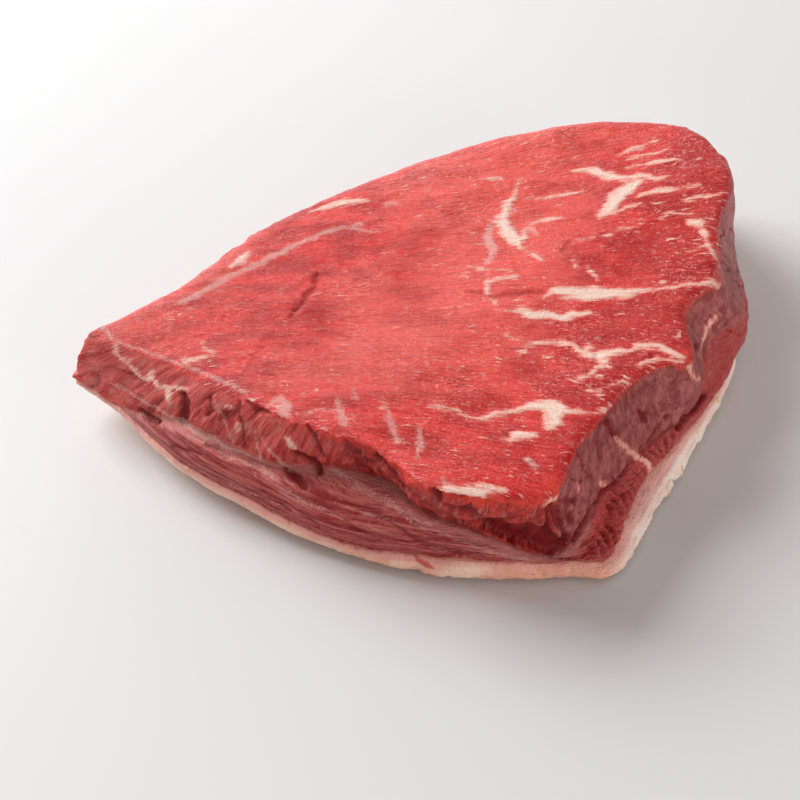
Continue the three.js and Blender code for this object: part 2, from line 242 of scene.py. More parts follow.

# Slots, pockets and cracks of the sides: how deep, and bearing, drop and half the width. The depth also sets
# how far they are painted dark: deep red of the flesh and painted shade in one.
SIDE_GROOVES = {
    "nick": (1.8, ((-166.2, 34, 0.6), (-164.1, 35, 1.1), (-161.6, 34, 0.6))),
    "slot 1": (1.6, ((-159.1, 15, 0.8), (-157.6, 19, 1.4), (-157.2, 24, 1.8), (-157.4, 28, 1.6),
                     (-155.9, 29, 0.8))),
    "slot 2": (1.0, ((-153, 11, 0.4), (-151.3, 15, 0.6), (-151.8, 19, 0.4))),
    "slot 3": (1.0, ((-147.7, 16, 1.3), (-146.5, 12, 1.6), (-145.8, 9, 1.0))),
    "slot 4": (0.9, ((-146.1, 5, 0.4), (-143.9, 14, 0.6), (-142.2, 24, 0.5))),
    "red hollow": (1.0, ((-144.1, 3, 1.0), (-141.8, 4, 1.7), (-139.6, 3, 1.3))),
    "hollow": (1.9, ((-130.2, 17, 1.1), (-128.4, 18, 1.9), (-126.7, 19, 1.9), (-125.1, 22, 0.9))),
    "hollow line": (1.2, ((-127.8, 2, 0.4), (-125.4, 7, 0.6), (-123.9, 13, 0.5))),
    "hollow under the edge": (0.9, ((-118.1, 3, 1.1), (-116.4, 5, 1.8), (-114.8, 6, 1.1))),
    "fold line": (1.6, ((-110, 4, 0.8), (-105.9, 7, 0.9), (-102.1, 8, 0.9), (-98.9, 8, 0.6))),
    "front slot": (1.5, ((-96, 1, 0.8), (-95, 3, 1.1), (-94.2, 6, 0.8))),
    "pocket": (3.6, ((-86.5, 13, 1.5), (-82.5, 15, 3.0), (-78.5, 17, 4.6), (-75, 20, 4.2), (-72, 27, 2.6),
                     (-68.5, 34, 1.4))),
    "pocket left": (1.2, ((-92.8, 7, 0.8), (-89.9, 8, 1.1), (-87.4, 9, 1.1))),
    "slit 1": (1.6, ((-73.7, 7, 0.4), (-73.2, 13, 0.6), (-72.3, 21, 0.4))),
    "slit 2": (1.8, ((-73.1, 5, 0.4), (-71.6, 13, 0.7), (-69.9, 23, 0.5))),
    "slit 3": (2.0, ((-71.7, 8, 0.5), (-69.5, 20, 0.8), (-68.5, 31, 0.6))),
    "slit 4": (1.2, ((-70.2, 9, 0.6), (-67.7, 15, 0.6), (-65.4, 20, 0.4))),
    "slit 5": (1.4, ((-68.1, 18, 0.4), (-66.9, 26, 0.6))),
    "corner gap": (3.6, ((-66.3, 37, 0.9), (-65.5, 34, 1.6), (-63.7, 33, 1.2), (-61.2, 32, 0.8))),
    "corner crease": (2.6, ((-61.2, 32, 0.8), (-57.4, 32, 0.7), (-53.3, 34, 0.8), (-49.7, 37, 0.8),
                            (-47.5, 36, 0.8), (-44.3, 35, 0.7), (-41.7, 34, 0.5))),
    "end crack 1": (2.0, ((-49.8, 4, 0.6), (-48.4, 10, 1.0), (-47.8, 15, 0.8), (-47.3, 19, 0.4))),
    "end crack 2": (1.7, ((-36.9, 35, 0.6), (-33.9, 33, 0.7), (-31.9, 31, 0.8), (-30.4, 28, 0.4))),
    "end crack 3": (1.3, ((-36.5, 16, 0.6), (-34.6, 23, 0.6))),
    "end crack 4": (1.0, ((-54.7, 8, 0.4), (-54.4, 16, 0.5))),
    "end spot": (1.4, ((-28.4, 27, 1.1), (-27.7, 28, 0.8))),
    "fat line cleft": (2.6, ((-10.7, 38, 0.8), (-14.5, 35, 1.3), (-20, 30, 1.3), (-23, 30, 1.3),
                             (-24, 34, 0.8))),
    "flap cleft": (1.8, ((-6, 18, 0.8), (-10.2, 14, 0.9))),
    "corner lobe": (0.9, ((-64.4, 43, 1.0), (-62.1, 47, 1.2), (-61.3, 49, 0.9))),
    "red streak 1": (0.9, ((-155.4, 43, 0.5), (-152.2, 41, 0.9), (-149.3, 39, 0.5))),
    "red streak 2": (1.6, ((-133, 26, 0.6), (-129.5, 28, 1.6), (-126.2, 30, 1.2))),
    "red streak 3": (0.8, ((-125.2, 42, 0.5), (-123.3, 44, 0.9), (-121, 46, 0.5))),
    "red streak 4": (0.9, ((-116.4, 30, 0.5), (-102.9, 29, 0.9), (-94.1, 29, 0.9), (-81.9, 34, 0.5))),
    "lobe streak 1": (0.9, ((-149.8, 33, 0.4), (-147.2, 32, 0.8), (-144.7, 32, 0.4))),
    "lobe streak 2": (0.8, ((-134.9, 39, 0.4), (-131.4, 41, 0.8), (-128.1, 44, 0.6))),
    "lobe streak 3": (0.7, ((-113.8, 40, 0.4), (-109.7, 41, 0.8), (-107, 41, 0.4))),
    "lobe streak 4": (0.7, ((-98.3, 30, 0.4), (-92, 29, 0.6), (-85.9, 29, 0.4))),
    "lobe streak 5": (0.9, ((-74, 31, 0.5), (-70, 38, 0.8), (-66.6, 44, 0.7))),
}

# Pale film and streaks on the sides: bearing, drop and half the width
PALE_STREAKS = {
    "film 1": ((-172, 26, 0.8), (-166.2, 28, 1.2), (-158.5, 29, 1.2), (-151.2, 30, 1.2), (-143.1, 27, 0.8)),
    "film 2": ((-152.1, 8, 0.6), (-148.3, 17, 0.9), (-145, 24, 0.8)),
    "film 3": ((-138.2, 16, 0.6), (-134.5, 21, 1.2), (-132, 26, 0.8)),
    "film 4": ((-140.4, 14, 0.6), (-137.2, 30, 0.9), (-126.2, 36, 0.9), (-115.2, 38, 0.6)),
    "film 5": ((-122.8, 19, 0.8), (-114.4, 22, 1.2), (-105, 22, 1.2), (-96.5, 19, 0.8)),
    "shoulder 1": ((-155.9, 33, 0.3), (-146.6, 32, 0.9), (-137.9, 30, 0.9), (-127.1, 31, 0.3)),
    "shoulder 2": ((-122.3, 23, 0.3), (-108.7, 24, 1.0), (-94.3, 21, 0.7), (-82, 27, 0.9), (-69.4, 36, 0.3)),
    "streak 1": ((-150, 47, 0.4), (-147.8, 48, 0.6)),
    "streak 2": ((-131.2, 36, 0.4), (-126, 37, 0.8), (-121.2, 37, 0.4)),
    "streak 3": ((-148.8, 46, 0.5), (-139.8, 44, 0.6), (-130.1, 43, 0.5)),
    "streak 4": ((-119.6, 32, 0.4), (-110.1, 32, 0.6), (-103, 28, 0.4)),
}

# Wrinkles across the lower lobe of the cut end, evenly spread between two bearings, and how
# wide each is as a share of the step between two
END_WRINKLES = 16
END_WRINKLES_FROM = -61
END_WRINKLES_TO = -27
WRINKLE_WIDTH = 0.16

# Stains and marks on the fat: bearing, height and half the width
RED_STAINS = {
    "stain 1": ((-114.9, 11, 1.4), (-111.1, 11, 2.0), (-106.9, 11, 1.4)),
    "stain 2": ((-99, 10, 1.0), (-98, 9, 1.3), (-96.5, 7.5, 0.9), (-95, 6.5, 0.4)),
    "stain 3": ((-133, 13, 0.8), (-128, 11, 0.7)),
    "salmon patch": ((5.2, 20, 0.8), (3, 19, 1.5), (0.4, 19, 0.8)),
    "corner": ((-61.8, 8, 0.9), (-60.8, 8, 0.9)),
}
TAN_MARKS = {
    "tan bump": ((-8.4, 11, 1.5), (-5.6, 9, 1.1)),
    "tan mark 1": ((-16, 14, 0.8), (-17.3, 9, 0.6)),
    "tan mark 2": ((-27, 5, 0.8), (-29.7, 3, 0.6)),
    "tan mark 3": ((-33.2, 3, 1.1), (-35.9, 3, 0.6)),
    "crack 1": ((-74.3, 7, 0.4), (-73.6, 6, 0.5), (-73.2, 4, 0.4)),
    "crack 2": ((-68.1, 8, 0.4), (-67.5, 6, 0.5), (-67.6, 4, 0.4)),
}
FAT_NICKS = {
    "front notch": (2.0, ((-100.1, 4, 0.6), (-99, 3, 1.2), (-98.5, 0, 1.4))),
    "left notch": (1.2, ((-118, 4, 0.8), (-117, 2, 1.2))),
    "corner crack 1": (0.7, ((-74.3, 7, 0.3), (-73.6, 6, 0.4), (-73.2, 4, 0.3))),
    "corner crack 2": (0.7, ((-68.1, 8, 0.3), (-67.5, 6, 0.4), (-67.6, 4, 0.3))),
    "end nick": (1.2, ((-31, 2, 1.3), (-31.5, 5, 0.7))),
    "end crack": (0.7, ((-51.3, 8, 0.4), (-51.6, 7, 0.4), (-52.5, 6, 0.3))),
}


def tone(red, green, blue):
    """A linear colour from display values of 0 to 255."""
    shares = (value / 255 for value in (red, green, blue))
    return tuple(s / 12.92 if s < 0.04045 else ((s + 0.055) / 1.055) ** 2.4 for s in shares)


def ramp(value, start, end, low=0.0, high=1.0):
    """Low at start and high at end, smooth between them."""
    share = np.clip((value - start) / (end - start), 0, 1)
    return low + (high - low) * share * share * (3 - 2 * share)


def scramble(cells, seed):
    """A number from 0 to 1 for each cell of whole numbers, the same on every run."""
    x, y, z = (cells[:, axis].astype(np.uint32) for axis in range(3))
    mixed = x * np.uint32(374761393) + y * np.uint32(668265263) + z * np.uint32(1442695041)
    mixed = mixed + np.uint32(seed * 97531)
    mixed = (mixed ^ (mixed >> np.uint32(13))) * np.uint32(1274126177)
    mixed = (mixed ^ (mixed >> np.uint32(15))) * np.uint32(2246822519)
    return ((mixed >> np.uint32(8)) & np.uint32(0xFFFF)) / 65535


def waves(places, seed):
    """Smooth noise from -1 to 1, about one wave for each unit."""
    cells = np.floor(places)
    share = places - cells
    share = share * share * (3 - 2 * share)
    cells = cells.astype(np.int64)
    total = np.zeros(len(places))
    for corner in itertools.product((0, 1), repeat=3):
        weight = np.prod(np.where(corner, share, 1 - share), axis=1)
        total += weight * scramble(cells + corner, seed)
    return 2 * total - 1


def rough_waves(places, seed, octaves=3):
    """Noise with finer and weaker noise on it."""
    layers = (waves(places * 2**octave, seed + octave) / 2**octave for octave in range(octaves))
    return sum(layers)


def ridges(places, seed):
    """Noise folded into sharp valleys, from -1 in a valley to 1."""
    return 2 * np.abs(waves(places, seed)) ** 0.6 - 1


def cell_borders(places, seed):
    """How near each place is to the border of its random cell: 0 on it, rising inside."""
    cells = np.floor(places).astype(np.int64)
    nearest = np.full(len(places), 9.0)
    second = nearest.copy()
    for step in itertools.product((-1, 0, 1), repeat=2):
        near = cells + (*step, 0)
        centre = near[:, :2] + np.stack([scramble(near, seed), scramble(near, seed + 5)], axis=1)
        away = np.linalg.norm(places[:, :2] - centre, axis=1)
        second = np.minimum(second, np.maximum(nearest, away))
        nearest = np.minimum(nearest, away)
    return second - nearest


def depth_inside(points, route, stretch=1.0):
    """How far each point is inside the band round a route, in millimetres; negative outside it.
    A route's places end with half the band's width; stretch turns each axis into millimetres."""
    inside = np.full(len(points), FAR_OUTSIDE)
    for start, end in itertools.pairwise(np.array(route, float)):
        along = (end[:-1] - start[:-1]) * stretch
        from_start = (points - start[:-1]) * stretch
        share = np.clip((from_start * along).sum(1) / (along**2).sum(-1), 0, 1)
        away = np.linalg.norm(from_start - share[:, None] * along, axis=1)
        width = start[-1] + share * (end[-1] - start[-1])
        inside = np.maximum(inside, width - away)
    return inside


def deepest_inside(points, routes, stretch=1.0):
    """The same for the nearest of several routes."""
    return np.maximum.reduce([depth_inside(points, route, stretch) for route in routes])


def solid_corners(node):
    """The corners of a solid in millimetres, with their bearing and radius round the pole."""
    flat = np.empty(len(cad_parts[node].data.vertices) * 3, np.float32)
    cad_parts[node].data.vertices.foreach_get("co", flat)
    corners = flat.reshape(-1, 3) / MM
    out = corners[:, :2] - POLE
    return corners, np.degrees(np.arctan2(out[:, 1], out[:, 0])), np.hypot(*out.T)


def near_bearing(bearings, bearing):
    """Which bearings are within reach of one."""
    return abs((bearings - bearing + 180) % 360 - 180) < LINE_REACH


def side_lines():
    """Read off the solids by bearing: the fat line's height and radius, and the top edge's."""
    fat, fat_bearing, fat_radius = solid_corners("fat_cap")
    lean, lean_bearing, lean_radius = solid_corners("lean_meat")
    bearings = np.arange(-180, 180, LINE_STEP)
    rows = []
    for bearing in bearings:
        here = near_bearing(fat_bearing, bearing) & (fat_radius > FAT_LINE_FROM)
        line = np.argmax(np.where(here, fat[:, 2], -1))
        over = near_bearing(lean_bearing, bearing) & (lean_radius > EDGE_LINE_FROM)
        edge = np.argmax(np.where(over, lean[:, 2] + EDGE_LEAN * lean_radius, -1))
        rows.append((fat[line, 2], fat_radius[line], lean[edge, 2], lean_radius[edge]))
    return bearings, np.array(rows).T


LINE_BEARINGS, (FOOT_HEIGHTS, FOOT_RADII, EDGE_HEIGHTS, EDGE_RADII) = side_lines()


def along_side(bearing, values):
    """A value of the side at any bearing."""
    return np.interp(bearing, LINE_BEARINGS, values, period=360)


class Skin:
    """The points of a piece being shaped, in millimetres, with where each one is and how it faces.
    The drop runs from the top edge down a side, and across counts millimetres round the side."""

    def __init__(self, piece):
        self.mesh = piece.data
        count = len(self.mesh.vertices)
        flat = np.empty(count * 3, np.float32)
        self.mesh.vertices.foreach_get("co", flat)
        self.points = flat.reshape(-1, 3).astype(float) / MM
        facing = np.empty(count * 3, np.float32)
        self.mesh.vertex_normals.foreach_get("vector", facing)
        self.facing = facing.reshape(-1, 3).astype(float)
        self.plan = self.points[:, :2] - POLE
        self.z = self.points[:, 2].copy()
        turn = LAST_BEARING - np.degrees(np.arctan2(self.plan[:, 1], self.plan[:, 0]))
        self.bearing = LAST_BEARING - turn % 360
        self.radius = np.hypot(*self.plan.T)
        self.across = np.radians(self.bearing) * ROUND_RADIUS
        self.foot = along_side(self.bearing, FOOT_HEIGHTS)
        beyond = self.radius - along_side(self.bearing, EDGE_RADII)
        self.drop = along_side(self.bearing, EDGE_HEIGHTS) - self.z + OUTWARD * beyond
        self.rise = RISE_SHARE * (self.z - self.foot)
        self.stretch = np.stack([np.radians(self.radius), np.ones(count)], axis=1)

    def face_corners(self):
        """The point and the face of each corner of the faces, and each face's first corner."""
        points = np.empty(len(self.mesh.loops), np.int32)
        self.mesh.loops.foreach_get("vertex_index", points)
        first = np.empty(len(self.mesh.polygons), np.int32)
        self.mesh.polygons.foreach_get("loop_start", first)
        faces = np.repeat(np.arange(len(first)), np.diff(np.append(first, len(points))))
        return points, faces, first

    def push(self, amount):
        """Moves each point the way it faces."""
        self.points += self.facing * amount[:, None]

    def lift(self, amount):
        """Moves each point up."""
        self.points[:, 2] += amount

    def keep(self, name, values, domain="POINT"):
        """Stores a number or a vector at each point or corner, for the material."""
        kind, field = ("FLOAT", "value") if values.ndim == 1 else ("FLOAT_VECTOR", "vector")
        attribute = self.mesh.attributes.new(name, kind, domain)
        attribute.data.foreach_set(field, values.astype(np.float32).ravel())

    def write(self):
        """Puts the moved points back in the mesh."""
        self.mesh.vertices.foreach_set("co", (self.points * MM).astype(np.float32).ravel())
        self.mesh.update()


def spots(*axes):
    """Several coordinates as rows of places for the noise."""
    return np.stack(np.broadcast_arrays(*axes), axis=1)


def border_wave(skin):
    """How far the line between lean and fat wanders up or down, the same for both pieces."""
    radius = along_side(skin.bearing, FOOT_RADII)
    places = spots(skin.plan[:, 0] / 11, skin.plan[:, 1] / 11, 0)
    reach = np.exp(-(((skin.z - skin.foot) / 5) ** 2)) * ramp(skin.radius / radius, 0.75, 0.95)
    return reach * (0.8 * waves(places, 3) + 0.4 * waves(places * 2.7, 4))


def select_only(piece):
    """Makes a piece the one that operators act on."""
    bpy.ops.object.select_all(action="DESELECT")
    piece.select_set(True)
    bpy.context.view_layer.objects.active = piece


def finish_modifier(piece, kind, **settings):
    """Adds a modifier with its settings and applies it."""
    modifier = piece.modifiers.new(kind.title(), kind)
    for name, value in settings.items():
        setattr(modifier, name, value)
    select_only(piece)
    bpy.ops.object.modifier_apply(modifier=modifier.name)


def fine_copy(node, name, voxel, edge_hold):
    """A merged, rounded and evenly meshed copy of a solid, ready to be shaped."""
    piece = bpy.data.objects.new(name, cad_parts[node].data.copy())
    bpy.context.scene.collection.objects.link(piece)
    piece.data.materials.clear()
    select_only(piece)
    bpy.ops.object.mode_set(mode="EDIT")
    bpy.ops.mesh.select_all(action="SELECT")
    bpy.ops.mesh.remove_doubles(threshold=MERGE)
    bpy.ops.mesh.select_all(action="DESELECT")
    bpy.ops.mesh.edges_select_sharp(sharpness=SHARP_EDGE)
    bpy.ops.transform.edge_crease(value=edge_hold)
    bpy.ops.object.mode_set(mode="OBJECT")
    finish_modifier(piece, "SUBSURF", levels=2, render_levels=2)
    finish_modifier(piece, "REMESH", mode="VOXEL", voxel_size=voxel, use_smooth_shade=True)
    return piece


def thin_out(piece, hidden, ratio):
    """Merges faces where nobody looks, so that the rest can be fine."""
    group = piece.vertex_groups.new(name="hidden")
    group.add([int(index) for index in np.flatnonzero(hidden)], 1.0, "ADD")
    finish_modifier(piece, "DECIMATE", ratio=ratio, vertex_group="hidden", vertex_group_factor=10)
    piece.vertex_groups.clear()


def lean_regions(skin):
    """Shares from 0 to 1 of each part of the lean's surface, and the drop below the crease."""
    top = ramp(skin.facing[:, 2], 0.4, 0.75) * ramp(-skin.drop, -9, -5)
    under = ramp(-skin.facing[:, 2], 0.35, 0.7)
    side = (1 - top) * (1 - under)
    below = skin.drop - np.interp(skin.bearing, *np.transpose(CREASE), period=360)
    lobe = side * ramp(below, -1, 1.5)
    end_from = END_FROM - END_OVERHANG * ramp(-below, -1, 3)
    end = ramp(skin.bearing, end_from, end_from + END_BLEND)
    end = end * ramp(-skin.bearing, -END_TO - END_BLEND, -END_TO)
    front = ramp(-skin.facing[:, 1], 0.1, 0.5) * (1 - end)
    torn = front * ramp(skin.bearing, -128, -112)
    return {"top": top, "side": side, "lobe": lobe, "block": side - lobe, "end": end,
            "front": front, "torn": torn, "below": below}


def fan_places(plan):
    """How far along the fanned fibres of the top and across them each place lies."""
    away = plan - FAN
    return np.hypot(*away.T), np.arctan2(away[:, 1], away[:, 0]) * FAN_REACH


def grain_of(skin, regions):
    """Coordinates along, across and through the fibres in millimetres, at each corner of each face.
    The corners of a face take them from one part of the surface, so that no face spans a jump."""
    points, faces, first = skin.face_corners()
    on_top = regions["top"][points[first]][faces] > 0.5
    on_lobe = regions["lobe"][points[first]][faces] > 0.5
    turn = (skin.bearing[points] - skin.bearing[points[first]][faces]) / 360
    across = skin.across[points] - np.radians(360 * np.round(turn)) * ROUND_RADIUS
    drop, radius = skin.drop[points], skin.radius[points]
    fan = spots(*fan_places(skin.plan[points]), skin.z[points])
    side = spots(across, skin.rise[points], radius)
    upright = spots(drop, across + BLOCK_LEAN * drop, radius)
    on_side = np.where(on_lobe[:, None], side, upright)
    return np.where(on_top[:, None], fan, on_side)


def top_relief(skin):
    """Ridges of fibre and soft lumps on the cut top."""
    along, across = fan_places(skin.plan)
    fibres = 0.12 * waves(spots(along / 14, across / 2.6, 0), 11)
    fibres += 0.10 * waves(spots(along / 5, across / 1.9, 0), 12)
    lumps = 0.5 * rough_waves(spots(along / 17, across / 9, 0), 13, octaves=4)
    return fibres + lumps


def block_relief(skin, regions):
    """Torn folds of the upper block: upright ones at the tip, ragged flesh by the cut corner."""
    leaning = skin.across + BLOCK_LEAN * skin.drop
    folds = 0.7 * ridges(spots(leaning / 10, skin.drop / 24, 0), 21)
    folds += 0.45 * ridges(spots(leaning / 4.5, skin.drop / 11, 0), 22)
    folds += 0.3 * rough_waves(spots(leaning / 2.2, skin.drop / 5, 0), 26, octaves=2)
    across, down = skin.across - 0.5 * skin.drop, skin.drop + 0.3 * skin.across
    ragged = 0.9 * ridges(spots(across / 9, down / 6, 0), 23)
    ragged += 0.8 * rough_waves(spots(skin.across / 4.5, skin.drop / 3.6, skin.z / 9), 24, octaves=3)
    rim = np.exp(-(((skin.drop - 2) / 2.5) ** 2))
    scallops = rim * 0.9 * rough_waves(spots(skin.across / 5, skin.drop / 6, 0), 25)
    return (1 - regions["torn"]) * folds + regions["torn"] * ragged + scallops


def lobe_relief(skin):
    """Long flat strands along the lobe, under its thin skin."""
    strands = 0.45 * waves(spots(skin.across / 55, skin.rise / 6, 0), 31)
    strands += 0.3 * ridges(spots(skin.across / 30, skin.rise / 2.6, 0), 32)
    return strands + 0.25 * waves(spots(skin.across / 9, skin.rise / 5, 0), 33)


def end_relief(skin, regions):
    """Cut bundles with cracks between them above, and wrinkles across the lobe below."""
    slanted = skin.across - 0.45 * skin.drop
    borders = cell_borders(spots(slanted / 8, skin.drop / 14, 0), 41)
    open_here = ramp(waves(spots(skin.across / 10, skin.drop / 10, 0), 42), -0.1, 0.4)
    bundles = -0.8 * open_here * np.exp(-((borders / 0.07) ** 2))
    bundles += 0.45 * rough_waves(spots(skin.across / 9, skin.drop / 7, 0), 43)
    bundles += 0.12 * waves(spots(skin.across / 1.7, skin.drop / 1.7, 0), 45)
    wrinkle_step = (END_WRINKLES_TO - END_WRINKLES_FROM) / END_WRINKLES
    wander = 0.6 * rough_waves(spots(skin.drop / 7, skin.across / 12, 0), 44)
    phase = (skin.bearing - END_WRINKLES_FROM) / wrinkle_step + wander
    within = ramp(skin.bearing, END_WRINKLES_FROM - 3, END_WRINKLES_FROM)
    within = within * ramp(-skin.bearing, -END_WRINKLES_TO - 3, -END_WRINKLES_TO)
    deep = ramp(waves(spots(skin.drop / 5, skin.across / 5, 0), 46), -0.6, 0.3, 0.3, 1.7)
    wrinkles = 0.4 - deep * np.exp(-((((phase + 0.5) % 1 - 0.5) / WRINKLE_WIDTH) ** 2))
    lobe = ramp(regions["below"], -1, 1)
    return (1 - lobe) * bundles + lobe * (within * wrinkles + (1 - within) * bundles)


def shape_lean(piece):
    """Gives the lean its fibres, folds, cracks and seams, and stores where each one is."""
    skin = Skin(piece)
    regions = lean_regions(skin)
    crease_line = regions["side"] * np.exp(-((regions["below"] / CREASE_WIDTH) ** 2))
    strong_crease = np.maximum(regions["front"] * ramp(skin.bearing, -135, -105, 0.25, 1.0),
                               regions["end"] * ramp(-skin.bearing, 15, 35))

    fine = spots(*(skin.points / 3.2).T)
    wobble = 0.7 * np.stack([waves(fine, 51), waves(fine, 52)], axis=1)
    plan = skin.plan + wobble
    side = np.stack([skin.bearing, skin.drop], axis=1) + wobble / skin.stretch
    along, across = fan_places(skin.plan)
    streaked = 0.8 * regions["top"] * waves(spots(along / 5, across / 1.1, 0), 53)
    off_top = np.where(regions["top"] > 0.3, 0.0, FAR_OUTSIDE)
    off_side = np.where(regions["side"] > 0.2, 0.0, FAR_OUTSIDE)
    seam = np.maximum(deepest_inside(plan, TOP_SEAMS.values()) + off_top,
                      deepest_inside(side, SIDE_SEAMS.values(), skin.stretch) + off_side) + streaked
    # Pale: silver skin and film, with the painted highlights of the glazes, glints and the top edge
    pale = np.maximum(deepest_inside(plan, TOP_SKINS_AND_GLINTS.values()) + off_top,
                      depth_inside(side, PAINTED_EDGE_HIGHLIGHT, skin.stretch))
    streak = deepest_inside(side, PALE_STREAKS.values(), skin.stretch) + off_side
    cut = np.zeros(len(skin.z))
    shade_and_deep_red = np.zeros(len(skin.z))
    on_top = (plan, 1.0, TOP_GROOVES, off_top)
    on_side = (side, skin.stretch, SIDE_GROOVES, off_side)
    for places, stretch, grooves, off in (on_top, on_side):
        for depth, route in grooves.values():
            inside = depth_inside(places, route, stretch) + off
            cut = np.maximum(cut, depth * ramp(inside, -1.1, 0.6))
            shade_and_deep_red = np.maximum(shade_and_deep_red, min(depth / 1.5, 1) * ramp(inside, -1.0, 0.5))

    end_part = regions["side"] * regions["end"] * end_relief(skin, regions)
    block_part = (1 - regions["end"]) * regions["block"] * block_relief(skin, regions)
    lobe_part = (1 - regions["end"]) * regions["lobe"] * lobe_relief(skin)
    side_part = end_part + block_part + lobe_part
    calm = 1 - SEAM_CALM * ramp(seam, -0.5, 0.5)
    raised = SEAM_HEIGHT * ramp(seam, -0.2, 1.2)
    relief = calm * (regions["top"] * top_relief(skin) + side_part)
    skin.push(relief + raised - cut - CREASE_DEPTH * crease_line * strong_crease)
    skin.lift(border_wave(skin) * (1 - regions["top"]))

    # Painted shade: hollows of the side relief and the crease between block and lobe are darkened in the
    # colour
    hollow_shade = ramp(-side_part, 0.2, 1.1) * ramp(skin.drop, 2, 6)
    hollow_shade = hollow_shade * (1 - 0.5 * regions["lobe"] * (1 - regions["end"]))
    shade_and_deep_red = np.maximum(shade_and_deep_red, 0.8 * hollow_shade)
    shade_and_deep_red = np.maximum(shade_and_deep_red, 0.7 * crease_line * strong_crease)
    skin.keep("grain", grain_of(skin, regions), "CORNER")
    skin.keep("where", spots(skin.bearing, skin.drop, regions["below"]))
    skin.keep("parts", spots(regions["top"], regions["end"] * regions["side"], regions["torn"]))
    skin.keep("seam", seam)
    skin.keep("pale", np.maximum(pale, streak - 0.4))
    skin.keep("shade_and_deep_red", shade_and_deep_red)
    skin.keep("painted_glow", deepest_inside(plan, PAINTED_GLOWS.values()) - 3 * ramp(skin.drop, 3, 8))
    skin.write()


def shape_fat(piece):
    """Gives the fat its lumps, its ragged rim and nicks, and closes it up under the lean."""
    skin = Skin(piece)
    foot_radius = along_side(skin.bearing, FOOT_RADII)
    upward = ramp(skin.facing[:, 2], 0.3, 0.7)
    under = ramp(-skin.facing[:, 2], 0.75, 0.95)
    hidden_top = upward * ramp(foot_radius - skin.radius, 2, 5)
    shown = (1 - hidden_top) * (1 - under) * ramp(skin.foot - skin.z, 0, 2.5)

    lumps = 0.45 * rough_waves(spots(*(skin.points / 11).T), 61)
    lumps += 0.14 * rough_waves(spots(*(skin.points / 2.6).T), 62, octaves=2)
    low = shown * ramp(-skin.z, -6, -1)
    torn_rim = low * 1.3 * rough_waves(spots(skin.plan[:, 0] / 7, skin.plan[:, 1] / 7, 0), 63, octaves=4)
    side = np.stack([skin.bearing, skin.z], axis=1)
    fine = skin.points / 2.5
    side += 0.5 * np.stack([waves(fine, 64), waves(fine, 65)], axis=1) / skin.stretch
    cut = np.zeros(len(skin.z))
    for depth, route in FAT_NICKS.values():
        cut = np.maximum(cut, depth * ramp(depth_inside(side, route, skin.stretch), -1.0, 0.5))
    skin.push(shown * (lumps - 0.3 + torn_rim - cut))
    skin.lift(border_wave(skin) + 0.6 * hidden_top)
    skin.points[:, 2] = np.maximum(skin.points[:, 2], 0)

    skin.keep("where", spots(skin.across, skin.foot - skin.z, skin.z))
    skin.keep("end", ramp(skin.bearing, -63, -56) * ramp(-skin.bearing, -60, -30))
    skin.keep("stain", deepest_inside(side, RED_STAINS.values(), skin.stretch))
    skin.keep("tan", deepest_inside(side, TAN_MARKS.values(), skin.stretch))
    skin.write()


